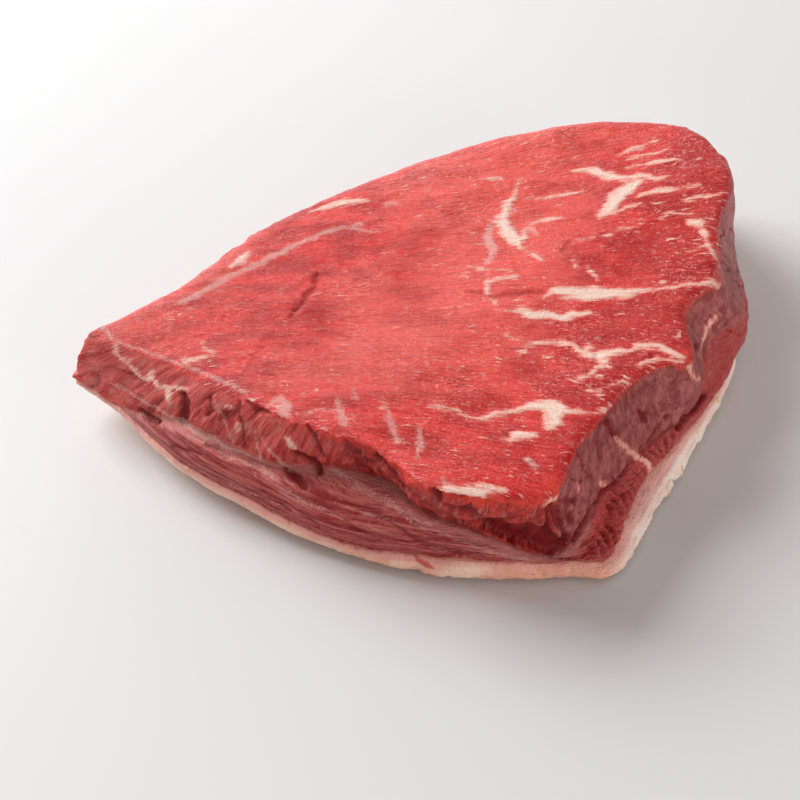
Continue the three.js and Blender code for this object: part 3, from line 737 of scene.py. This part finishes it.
class Finish:
    """A material being wired: each call adds a node and gives back what comes out of it."""

    def __init__(self, name):
        self.material = bpy.data.materials.new(name)
        self.material.use_nodes = True
        self.tree = self.material.node_tree
        self.tree.nodes.clear()

    def add(self, kind, wired, **settings):
        node = self.tree.nodes.new("ShaderNode" + kind)
        for name, value in settings.items():
            setattr(node, name, value)
        for socket, value in wired.items():
            if isinstance(value, bpy.types.NodeSocket):
                self.tree.links.new(value, node.inputs[socket])
            else:
                node.inputs[socket].default_value = value
        return node

    def number(self, name):
        return self.add("Attribute", {}, attribute_name=name).outputs["Fac"]

    def vector(self, name):
        return self.add("Attribute", {}, attribute_name=name).outputs["Vector"]

    def place(self):
        return self.add("TexCoord", {}).outputs["Object"]

    def maths(self, operation, first, second):
        return self.add("Math", {0: first, 1: second}, operation=operation).outputs[0]

    def plus(self, first, second):
        return self.maths("ADD", first, second)

    def minus(self, first, second):
        return self.maths("SUBTRACT", first, second)

    def times(self, first, second):
        return self.maths("MULTIPLY", first, second)

    def most(self, first, second):
        return self.maths("MAXIMUM", first, second)

    def moved(self, vector, aside):
        return self.add("VectorMath", {0: vector, 1: aside}, operation="ADD").outputs[0]

    def split(self, vector):
        return self.add("SeparateXYZ", {"Vector": vector}).outputs

    def step(self, value, low, high, start=0.0, end=1.0):
        wired = {"Value": value, "From Min": low, "From Max": high, "To Min": start, "To Max": end}
        return self.add("MapRange", wired, interpolation_type="SMOOTHSTEP").outputs["Result"]

    def mix(self, share, first, second):
        """A blend of two colours, each a socket or three numbers."""
        wired = {0: share}
        for socket, colour in ((6, first), (7, second)):
            wired[socket] = colour if isinstance(colour, bpy.types.NodeSocket) else (*colour, 1.0)
        return self.add("Mix", wired, data_type="RGBA").outputs[2]

    def scaled(self, vector, scale):
        return self.add("Mapping", {"Vector": vector, "Scale": scale}).outputs[0]

    def noise(self, vector, scale=1.0, detail=2.0):
        wired = {"Vector": vector, "Scale": scale, "Detail": detail}
        return self.add("TexNoise", wired).outputs["Fac"]

    def soft(self, vector, scale):
        """A vector that wanders smoothly, to bend other patterns by."""
        wired = {"Vector": vector, "Scale": scale, "Detail": 2.0}
        return self.add("TexNoise", wired).outputs["Color"]

    def cells(self, vector, feature="F1"):
        return self.add("TexVoronoi", {"Vector": vector, "Scale": 1.0}, feature=feature).outputs

    def bump(self, height, distance, normal=None):
        wired = {"Height": height, "Distance": distance, "Strength": 1.0}
        if normal is not None:
            wired["Normal"] = normal
        return self.add("Bump", wired).outputs[0]

    def close(self, **sockets):
        """Ends the material with the shader of a soft wet solid."""
        wired = {name.replace("_", " "): value for name, value in sockets.items()}
        shader = self.add("BsdfPrincipled", wired)
        output = self.add("OutputMaterial", {})
        self.tree.links.new(shader.outputs[0], output.inputs["Surface"])
        return self.material


def dashes(finish, grain, length, width, chance, place):
    """Short light dashes along the grain: 1 inside a dash."""
    shifted = finish.add("Mapping", {"Vector": grain, "Location": (place, 0.37 * place, 0)}).outputs[0]
    wander = finish.noise(finish.scaled(shifted, (0.11, 0.2, 0.1)), detail=1.0)
    aside = finish.add("CombineXYZ", {"Y": finish.times(wander, 6.0)}).outputs[0]
    bent = finish.moved(shifted, aside)
    cells = finish.cells(finish.scaled(bent, (1 / length, 1 / width, 0.05)))
    picked = finish.step(finish.split(cells["Color"])[0], 1 - chance, 1.1 - chance)
    rough = finish.times(finish.noise(bent, scale=1.4, detail=2.0), 0.4)
    return finish.times(picked, finish.step(finish.plus(cells["Distance"], rough), 0.52, 0.3))


def flesh_patterns(finish):
    """The coordinates and noises that the parts of the flesh share."""
    place, grain = finish.place(), finish.vector("grain")
    return SimpleNamespace(
        place=place, grain=grain,
        strands=finish.noise(finish.scaled(grain, (0.035, 0.6, 0.02)), detail=6.0),
        threads=finish.noise(finish.scaled(grain, (0.14, 2.4, 0.05)), detail=5.0),
        mottle=finish.noise(place, scale=340.0, detail=4.0))


def top_colour(finish, settings, flesh):
    """Red of the cut top: pinker in a middle band and at the tip, which is a painted sheen, and deeper
    towards the cut end.
    """
    patches = finish.noise(flesh.place, scale=30.0, detail=3.0)
    blotches = finish.noise(finish.scaled(flesh.grain, (0.05, 0.1, 0.02)), detail=6.0)
    red = finish.mix(finish.step(blotches, 0.4, 0.6), settings.top_deep, settings.top_light)
    right, back, _ = finish.split(flesh.place)
    wander = finish.times(finish.minus(patches, 0.5), 0.09)
    slanted = finish.plus(finish.minus(right, finish.times(back, 0.35)), wander)
    # Painted sheen: a pinker band across the middle and a pinker tip, where the wet top would reflect the
    # window light
    middle = finish.times(finish.step(slanted, -0.035, -0.005), finish.step(slanted, 0.07, 0.025))
    middle = finish.times(middle, finish.step(back, -0.08, -0.04, 0.15, 1.0))
    sheen_share = finish.most(middle, finish.step(slanted, -0.055, -0.1))
    red = finish.mix(finish.times(sheen_share, 0.75), red, settings.top_sheen)
    red = finish.mix(finish.step(slanted, 0.045, 0.095, 0.0, 0.7), red, settings.top_right)
    red = finish.mix(finish.step(blotches, 0.44, 0.36, 0.0, 0.5), red, settings.top_deep)
    red = finish.mix(finish.step(flesh.threads, 0.5, 0.68, 0.0, 0.4), red, settings.top_fibre)
    return finish.mix(finish.step(flesh.threads, 0.46, 0.36, 0.0, 0.5), red, settings.top_groove)


def block_colour(finish, settings, flesh, drop, torn):
    """Red of the upper block: pale folds at the tip, torn flesh at the corner, and a painted glow of bright
    red just under the edge.
    """
    strands = finish.plus(flesh.strands, finish.times(flesh.threads, 0.6))
    folds = finish.mix(finish.step(strands, 0.62, 0.98), settings.block_deep, settings.block_light)
    ragged = finish.mix(finish.step(flesh.mottle, 0.36, 0.68), settings.torn_deep, settings.torn_light)
    block = finish.mix(torn, folds, ragged)
    # Painted glow: bright red put in just under the top edge, for light shining through the thin flesh there
    edge = finish.step(finish.plus(drop, finish.times(flesh.mottle, 4.0)), 7.5, 3.0, 0.0, 0.85)
    block = finish.mix(edge, block, settings.painted_edge_glow)
    film = finish.noise(finish.scaled(flesh.grain, (0.1, 0.35, 0.2)), detail=4.0)
    film = finish.times(finish.step(film, 0.5, 0.68, 0.0, 0.5), finish.step(drop, 4.0, 8.0))
    return finish.mix(film, block, settings.film)


def lobe_colour(finish, settings, flesh, below):
    """Plum of the lower lobe, with a greyish shoulder, partly film and partly a painted sheen where its
    rounded top catches the light, and thin dark and pale streaks.
    """
    strands = finish.plus(flesh.strands, finish.times(flesh.threads, 0.7))
    plum = finish.mix(finish.step(strands, 0.7, 1.02), settings.lobe_deep, settings.lobe_light)
    # Greyish shoulder band under the crease: partly pale film, partly painted sheen of the lobe's rounded top
    shoulder = finish.plus(below, finish.times(flesh.strands, 5.0))
    plum = finish.mix(finish.step(shoulder, 10.5, 3.5, 0.0, 0.65), plum, settings.shoulder_film_and_sheen)
    dark = finish.times(dashes(finish, flesh.grain, 26.0, 2.2, 0.3, 17.0), 0.75)
    plum = finish.mix(dark, plum, settings.lobe_dark)
    light = finish.times(dashes(finish, flesh.grain, 30.0, 1.4, 0.35, 5.0), 0.65)
    return finish.mix(light, plum, settings.lobe_streak)


def end_colour(finish, settings, flesh, below):
    """Purple of the cut end, in bundles with dark lines between, and redder plum below its crease."""
    bundles = finish.moved(finish.scaled(flesh.grain, (0.16, 0.3, 0.02)), finish.soft(flesh.place, 420.0))
    shades = finish.times(finish.split(finish.cells(bundles)["Color"])[0], 0.35)
    shades = finish.plus(shades, finish.plus(flesh.mottle, finish.times(flesh.threads, 0.3)))
    upper = finish.mix(finish.step(shades, 0.55, 1.1), settings.end_deep, settings.end_light)
    lower = finish.mix(finish.step(flesh.mottle, 0.38, 0.62), settings.end_low, settings.end_light)
    lower = finish.mix(0.6, lower, settings.end_low)
    purple = finish.mix(finish.step(below, -1.0, 2.0), upper, lower)
    # Dark lines between the bundles in the crack colour: painted shade in the cracks
    between = finish.cells(bundles, "DISTANCE_TO_EDGE")["Distance"]
    return finish.mix(finish.step(between, 0.1, 0.0, 0.0, 0.4), purple, settings.shade_and_deep_red)


def lean_colour(finish, settings, flesh):
    """The flesh without its fat."""
    _, drop, below = finish.split(finish.vector("where"))
    top, end, torn = finish.split(finish.vector("parts"))
    block = block_colour(finish, settings, flesh, drop, torn)
    lobe = lobe_colour(finish, settings, flesh, below)
    # The block, lobe and cut end take darker, duller reds than the top: partly their own colour, partly
    # painted shade of sides that face away from the light
    side = finish.mix(finish.step(below, -0.8, 1.2), block, lobe)
    side = finish.mix(finish.step(end, 0.2, 0.9), side, end_colour(finish, settings, flesh, below))
    return finish.mix(top, side, top_colour(finish, settings, flesh))


def flecks(finish, settings, flesh, top, colour):
    """The colour with pink speckle and dashes of fat in it, and where the dashes are."""
    grain = flesh.grain
    speckle = finish.noise(finish.scaled(grain, (0.55, 1.5, 1.0)), detail=2.0)
    speckle = finish.step(speckle, 0.56, 0.68, 0.0, 0.6)
    grit = finish.times(dashes(finish, grain, 1.7, 0.6, 0.5, 7.0), 0.55)
    speckled = finish.times(finish.most(speckle, grit), finish.step(top, 0.0, 1.0, 0.25, 1.0))
    clusters = finish.noise(flesh.place, scale=34.0, detail=4.0)
    speckled = finish.times(speckled, finish.step(clusters, 0.36, 0.62, 0.25, 1.0))
    colour = finish.mix(speckled, colour, settings.speckle)
    fine = finish.times(dashes(finish, grain, 4.0, 0.9, 0.5, 3.0), 0.6)
    long = finish.times(dashes(finish, grain, 9.0, 1.3, 0.25, 11.0), 0.95)
    some = finish.step(finish.noise(flesh.place, scale=22.0, detail=2.0), 0.3, 0.6, 0.25, 1.0)
    fleck = finish.times(finish.most(fine, long), some)
    fleck = finish.times(fleck, finish.step(top, 0.0, 1.0, 0.3, 1.0))
    colour = finish.mix(fleck, colour, settings.fleck)
    lines = finish.times(dashes(finish, grain, 7.0, 0.7, 0.3, 29.0), finish.step(top, 0.5, 0.0, 0.0, 0.5))
    return finish.mix(lines, colour, settings.film), fleck, clusters


def lean_finish(settings):
    """Wet lean: red on the cut top, plum on the lobe and the cut end, with seams and flecks."""
    finish = Finish("lean")
    flesh = flesh_patterns(finish)
    grain, mottle = flesh.grain, flesh.mottle
    top = finish.split(finish.vector("parts"))[0]
    seam, pale, shade_and_deep_red, painted_glow = (finish.number(name) for name in ("seam", "pale", "shade_and_deep_red", "painted_glow"))
    colour = lean_colour(finish, settings, flesh)
    colour, fleck, clusters = flecks(finish, settings, flesh, top, colour)
    # Painted shade and deep red: cracks, pockets, hollows and the crease darkened towards the crack colour
    colour = finish.mix(finish.times(shade_and_deep_red, 0.92), colour, settings.shade_and_deep_red)
    # Painted highlights: tiny near-white glints put into the colour of the top, for wet flesh catching the
    # light
    painted_glint = dashes(finish, grain, 1.3, 0.7, 0.1, 23.0)
    painted_glint = finish.times(finish.times(painted_glint, finish.step(clusters, 0.4, 0.6, 0.2, 0.9)), top)
    colour = finish.mix(painted_glint, colour, settings.painted_glint)
    # Painted glow: orange put into the colour by the top edge, for light shining through thin flesh
    painted_glow = finish.plus(painted_glow, finish.times(finish.minus(mottle, 0.5), 4.0))
    colour = finish.mix(finish.step(painted_glow, -0.8, 1.2, 0.0, 0.7), colour, settings.painted_glow)

    ragged = finish.minus(finish.noise(flesh.place, scale=1100.0, detail=3.0), 0.5)
    combed = finish.minus(finish.noise(finish.scaled(grain, (0.16, 1.3, 0.05)), detail=3.0), 0.5)
    frayed = finish.plus(seam, finish.times(ragged, 1.6))
    frayed = finish.plus(frayed, finish.times(combed, 4.5))
    colour = finish.mix(finish.step(frayed, -1.6, 0.3, 0.0, 0.6), colour, settings.seam_edge)
    in_seam = finish.step(frayed, -0.6, 0.5)
    seam_tone = finish.mix(finish.step(frayed, 0.2, 2.2), settings.seam_thin, settings.seam)
    colour = finish.mix(in_seam, colour, seam_tone)
    # Silver skin and pale film, and painted highlights of the wet glaze, glints and top edge, in the silver
    # colour
    streaky = finish.plus(finish.times(ragged, 3.5), finish.times(combed, 2.5))
    skin_and_glint = finish.step(finish.plus(pale, streaky), -0.9, 1.4, 0.0, 0.55)
    colour = finish.mix(skin_and_glint, colour, settings.silver)

    normal = finish.bump(flesh.threads, 0.0006)
    normal = finish.bump(finish.noise(finish.scaled(grain, (1.0, 2.2, 0.3)), detail=5.0), 0.0005, normal)
    normal = finish.bump(finish.most(fleck, in_seam), 0.00012, normal)
    dull = finish.most(finish.step(top, 0.0, 1.0, 0.16, 0.0), finish.times(shade_and_deep_red, 0.4))
    gloss = finish.plus(finish.step(mottle, 0.3, 0.7, 0.22, 0.38), dull)
    return finish.close(Base_Color=colour, Roughness=gloss, Normal=normal, IOR=1.36,
                        Subsurface_Weight=0.1, Subsurface_Radius=(1.0, 0.25, 0.2), Subsurface_Scale=0.002,
                        Coat_Weight=0.25, Coat_Roughness=0.15, Coat_IOR=1.33, Coat_Normal=normal)


def fat_finish(settings):
    """Raw beef fat: cream, pink under the lean, tan at the rim, with a few stains."""
    finish = Finish("fat")
    place = finish.place()
    _, under, height = finish.split(finish.vector("where"))
    end = finish.number("end")
    stain, tan = finish.number("stain"), finish.number("tan")
    cloud = finish.noise(place, scale=70.0, detail=3.0)
    fine = finish.noise(place, scale=420.0, detail=3.0)
    right, back, _ = finish.split(finish.scaled(place, (55.0, 55.0, 0.0)))
    layers = finish.add("CombineXYZ", {"X": right, "Y": back, "Z": under}).outputs[0]
    stripes = finish.noise(layers, scale=0.9, detail=4.0)

    front = finish.mix(finish.step(cloud, 0.35, 0.65), settings.front_deep, settings.front_light)
    cut = finish.mix(finish.step(cloud, 0.35, 0.65), settings.end_deep, settings.end_light)
    colour = finish.mix(end, front, cut)
    colour = finish.mix(finish.step(stripes, 0.5, 0.72, 0.0, 0.45), colour, settings.rim_pink)
    striped = finish.plus(under, finish.times(stripes, 5.0))
    colour = finish.mix(finish.step(striped, 5.6, 3.4, 0.0, 0.8), colour, settings.rim_pink)
    low = finish.plus(height, finish.times(cloud, 4.0))
    colour = finish.mix(finish.step(low, 4.2, 2.2, 0.0, 0.55), colour, settings.tan)
    ragged = finish.times(finish.minus(fine, 0.5), 5.0)
    colour = finish.mix(finish.step(finish.plus(stain, ragged), -0.8, 1.2, 0.0, 0.9), colour, settings.stain)
    colour = finish.mix(finish.step(finish.plus(tan, ragged), -0.3, 0.9, 0.0, 0.8), colour, settings.tan)

    normal = finish.bump(finish.plus(fine, stripes), 0.0008)
    normal = finish.bump(finish.noise(place, scale=1400.0, detail=2.0), 0.0003, normal)
    gloss = finish.step(cloud, 0.3, 0.7, 0.36, 0.52)
    return finish.close(Base_Color=colour, Roughness=gloss, Normal=normal, IOR=1.42,
                        Subsurface_Weight=0.2, Subsurface_Radius=(1.0, 0.45, 0.3), Subsurface_Scale=0.003,
                        Coat_Weight=0.12, Coat_Roughness=0.22, Coat_IOR=1.35)


def floor_finish(settings):
    """A plain pale table top, with faint clouds in it."""
    finish = Finish("table")
    cloud = finish.noise(finish.place(), scale=2.5, detail=4.0)
    darker = tuple(channel * 0.97 for channel in settings.floor)
    colour = finish.mix(finish.step(cloud, 0.35, 0.7), settings.floor, darker)
    return finish.close(Base_Color=colour, Roughness=0.55)


def colour_setting(name, description, default):
    """A colour that a user may change."""
    return FloatVectorProperty(name=name, description=description, default=default,
                               subtype="COLOR", size=3, min=0.0, max=1.0)


class LeanSettings(bpy.types.PropertyGroup):
    """Sizes and colours of the lean."""

    voxel: FloatProperty(name="Mesh size", description="Width of a face of the fine mesh",
                         default=0.0009, unit="LENGTH")
    edge_hold: FloatProperty(name="Edge hold", description="How sharp the top edge and the foot stay",
                             default=0.6, subtype="FACTOR", min=0.0, max=1.0)
    shown_share: FloatProperty(name="Faces kept", default=0.7, subtype="FACTOR", min=0.1, max=1.0,
                               description="Share of the faces kept when the underside is thinned")
    top_light: colour_setting("Top, light", "Light red of the cut top", tone(232, 48, 44))
    top_deep: colour_setting("Top, deep", "Deep red of the cut top", tone(190, 8, 12))
    # Pink of the painted sheen on the top
    top_sheen: colour_setting("Top, back", "Pinker red towards the back and the tip", tone(242, 92, 82))
    top_right: colour_setting("Top, right", "Deeper red towards the cut end", tone(172, 6, 14))
    top_groove: colour_setting("Top, grooves", "Dark red between the fibres", tone(150, 4, 12))
    top_fibre: colour_setting("Top, fibres", "Light fibres of the cut top", tone(236, 94, 84))
    speckle: colour_setting("Speckle", "Fine pink speckle", tone(246, 150, 136))
    block_light: colour_setting("Block, light", "Light red of the folds at the tip", tone(222, 92, 82))
    block_deep: colour_setting("Block, deep", "Deep red of the folds at the tip", tone(176, 22, 22))
    torn_light: colour_setting("Torn side, light", "Light red of the torn front", tone(206, 56, 48))
    torn_deep: colour_setting("Torn side, deep", "Deep red of the torn front", tone(150, 12, 16))
    film: colour_setting("Film", "Pale film over the folds at the tip", tone(206, 124, 114))
    # Colour of the painted glints, tiny highlights put into the colour of the top
    painted_glint: colour_setting("Glints", "Tiny wet glints", tone(255, 222, 214))
    # Colour of the painted glow of thin flesh at the top edge
    painted_glow: colour_setting("Glow", "Orange of thin flesh at the top edge", tone(230, 70, 50))
    # Colour of the painted glow just under the top edge
    painted_edge_glow: colour_setting("Edge", "Bright red just under the top edge", tone(234, 62, 44))
    lobe_light: colour_setting("Lobe, light", "Pale strands of the lobe", tone(202, 104, 98))
    lobe_deep: colour_setting("Lobe, deep", "Plum of the lobe", tone(148, 14, 22))
    lobe_dark: colour_setting("Lobe, dark streaks", "Dark red streaks along the lobe", tone(128, 14, 22))
    lobe_streak: colour_setting("Lobe, thin streaks", "Thin pale streaks along the lobe", tone(196, 130, 122))
    # Greyish pink of the shoulder: partly film, partly painted sheen
    shoulder_film_and_sheen: colour_setting("Lobe, shoulder", "Greyish pink over the lobe", tone(196, 128, 118))
    end_light: colour_setting("End, light", "Light purple of the cut end", tone(178, 94, 90))
    end_deep: colour_setting("End, deep", "Deep purple of the cut end", tone(134, 42, 44))
    end_low: colour_setting("End, low", "Redder plum of the cut end's lobe", tone(186, 58, 56))
    fleck: colour_setting("Flecks", "Fine flecks of fat in the grain", tone(250, 196, 180))
    seam: colour_setting("Seams", "Middle of the seams of fat", tone(248, 212, 196))
    seam_thin: colour_setting("Thin seams", "Thin parts of the seams", tone(242, 168, 154))
    seam_edge: colour_setting("Seam edges", "Pink flesh beside the seams", tone(236, 116, 104))
    # Colour of the silver skin and film, and of the painted wet highlights
    silver: colour_setting("Silver skin", "Thin pale skin and wet glaze", tone(240, 194, 186))
    # Deep red of cracks and pockets: partly the flesh's own colour, partly painted shade
    shade_and_deep_red: colour_setting("Cracks", "Deep red in cracks and pockets", tone(124, 0, 6))


class FatSettings(bpy.types.PropertyGroup):
    """Sizes and colours of the fat cap."""

    voxel: FloatProperty(name="Mesh size", description="Width of a face of the fine mesh",
                         default=0.0012, unit="LENGTH")
    edge_hold: FloatProperty(name="Edge hold", description="How sharp the rim stays",
                             default=0.4, subtype="FACTOR", min=0.0, max=1.0)
    front_light: colour_setting("Front, light", "Light peach of the front band", tone(248, 212, 190))
    front_deep: colour_setting("Front, deep", "Deeper peach of the front band", tone(240, 174, 148))
    end_light: colour_setting("End, light", "Cream of the cut end's band", tone(254, 236, 224))
    end_deep: colour_setting("End, deep", "Deeper cream of the cut end's band", tone(246, 218, 202))
    rim_pink: colour_setting("Upper rim", "Pink where the fat meets the lean", tone(226, 150, 142))
    tan: colour_setting("Tan", "Dried tan of the lower rim and its marks", tone(214, 164, 118))
    stain: colour_setting("Stains", "Red stains", tone(196, 70, 60))


class StageSettings(bpy.types.PropertyGroup):
    """The table top, the lights and the camera."""

    floor: colour_setting("Table", "Pale colour of the table top", (0.71, 0.706, 0.706))
    floor_size: FloatProperty(name="Table size", description="Width of the table top",
                              default=8.0, unit="LENGTH")
    distance: FloatProperty(name="Camera distance", description="From the camera to the meat",
                            default=0.7101, unit="LENGTH")
    elevation: FloatProperty(name="Camera height", description="How steeply the camera looks down",
                             default=math.radians(42), subtype="ANGLE")
    field: FloatProperty(name="Field of view", description="Angle that the picture takes in",
                         default=math.radians(24), subtype="ANGLE")
    key_power: FloatProperty(name="Window light", description="Power of the large soft light",
                             default=55.0, unit="POWER")
    back_power: FloatProperty(name="Back light", description="Power of the low light behind the meat",
                              default=6.0, unit="POWER")
    fill_power: FloatProperty(name="Low light", default=6.5, unit="POWER",
                              description="Power of the weak light on the front and the cut end")
    sky: FloatProperty(name="Sky", description="Strength of the light from all round",
                       default=0.43, min=0.0)


class PICANHA_OT_make_lean(bpy.types.Operator):
    """Makes the lean from its solid, with its grain, folds, cracks and seams"""

    bl_idname = "picanha.make_lean"
    bl_label = "Make the lean"

    def execute(self, context):
        settings = context.scene.picanha_lean
        piece = fine_copy("lean_meat", "lean", settings.voxel, settings.edge_hold)
        hidden = Skin(piece).facing[:, 2] < HIDDEN_FACING
        thin_out(piece, hidden, settings.shown_share)
        shape_lean(piece)
        piece.data.materials.append(lean_finish(settings))
        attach(piece, "root")
        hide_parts("lean_meat")
        return {"FINISHED"}


class PICANHA_OT_make_fat(bpy.types.Operator):
    """Makes the cap of fat from its solid, with its lumps, stains and ragged rim"""

    bl_idname = "picanha.make_fat"
    bl_label = "Make the fat cap"

    def execute(self, context):
        settings = context.scene.picanha_fat
        piece = fine_copy("fat_cap", "fat", settings.voxel, settings.edge_hold)
        shape_fat(piece)
        piece.data.materials.append(fat_finish(settings))
        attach(piece, "root")
        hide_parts("fat_cap")
        return {"FINISHED"}


LOOK_AT = (-0.00671, -0.01409, 0.0)
WINDOW = {"from": (-0.66, 0.48, 0.56), "distance": 2.0, "size": 1.4, "colour": (0.94, 0.985, 1.0)}
BACK_LIGHT = {"from": (-0.2, 1.0, 0.22), "distance": 1.8, "size": 1.2, "colour": (1.0, 0.98, 0.97)}
LOW_LIGHT = {"from": (0.75, -0.65, 0.14), "distance": 1.2, "size": 0.7, "colour": (1.0, 0.95, 0.93)}
ROOM = (1.0, 0.91, 0.88, 1.0)
CLIP = (0.01, 50.0)
SENSOR = 36.0


def aim(thing, target):
    """Turns a light or a camera to look at a place."""
    way = np.array(target) - np.array(thing.location)
    thing.rotation_euler = (math.acos(-way[2] / np.linalg.norm(way)), 0, math.atan2(-way[0], way[1]))


def add_light(place, power):
    """Adds a square soft light that looks at the meat."""
    towards = np.array(place["from"]) / np.linalg.norm(place["from"])
    bpy.ops.object.light_add(type="AREA", location=tuple(towards * place["distance"]))
    light = bpy.context.active_object
    light.data.size = place["size"]
    light.data.energy = power
    light.data.color = place["colour"]
    aim(light, (0, 0, 0))


class PICANHA_OT_make_stage(bpy.types.Operator):
    """Makes the table top, the lights and the camera"""

    bl_idname = "picanha.make_stage"
    bl_label = "Make the stage"

    def execute(self, context):
        settings = context.scene.picanha_stage
        bpy.ops.object.select_all(action="DESELECT")
        bpy.ops.mesh.primitive_plane_add(size=settings.floor_size, location=(0, 0, 0))
        table = context.active_object
        table.name = "table_top"
        table.data.materials.append(floor_finish(settings))

        world = bpy.data.worlds.new("room")
        world.use_nodes = True
        background = world.node_tree.nodes["Background"]
        background.inputs["Color"].default_value = ROOM
        background.inputs["Strength"].default_value = settings.sky
        context.scene.world = world

        add_light(WINDOW, settings.key_power)
        add_light(BACK_LIGHT, settings.back_power)
        add_light(LOW_LIGHT, settings.fill_power)

        back = np.array((0, -math.cos(settings.elevation), math.sin(settings.elevation)))
        bpy.ops.object.camera_add(location=tuple(np.array(LOOK_AT) + back * settings.distance))
        camera = context.active_object
        aim(camera, LOOK_AT)
        camera.data.sensor_width = SENSOR
        camera.data.lens = SENSOR / 2 / math.tan(settings.field / 2)
        camera.data.clip_start, camera.data.clip_end = CLIP
        context.scene.camera = camera
        context.scene.view_settings.view_transform = "Standard"
        return {"FINISHED"}


class PICANHA_PT_pieces(bpy.types.Panel):
    """Lists the pieces with their settings"""

    bl_idname = "PICANHA_PT_pieces"
    bl_label = "Raw picanha"
    bl_space_type = "VIEW_3D"
    bl_region_type = "UI"
    bl_category = "Picanha"

    def draw(self, context):
        for operator, settings in (
            (PICANHA_OT_make_lean, context.scene.picanha_lean),
            (PICANHA_OT_make_fat, context.scene.picanha_fat),
            (PICANHA_OT_make_stage, context.scene.picanha_stage),
        ):
            box = self.layout.box()
            for name in settings.__annotations__:
                box.prop(settings, name)
            box.operator(operator.bl_idname)


CLASSES = (LeanSettings, FatSettings, StageSettings, PICANHA_OT_make_lean, PICANHA_OT_make_fat,
           PICANHA_OT_make_stage, PICANHA_PT_pieces)


def register():
    for each in CLASSES:
        bpy.utils.register_class(each)
    bpy.types.Scene.picanha_lean = PointerProperty(type=LeanSettings)
    bpy.types.Scene.picanha_fat = PointerProperty(type=FatSettings)
    bpy.types.Scene.picanha_stage = PointerProperty(type=StageSettings)


def unregister():
    del bpy.types.Scene.picanha_stage
    del bpy.types.Scene.picanha_fat
    del bpy.types.Scene.picanha_lean
    for each in reversed(CLASSES):
        bpy.utils.unregister_class(each)


def main():
    register()
    bpy.ops.picanha.make_stage()
    bpy.ops.picanha.make_lean()
    bpy.ops.picanha.make_fat()


if __name__ == "__main__":
    main()
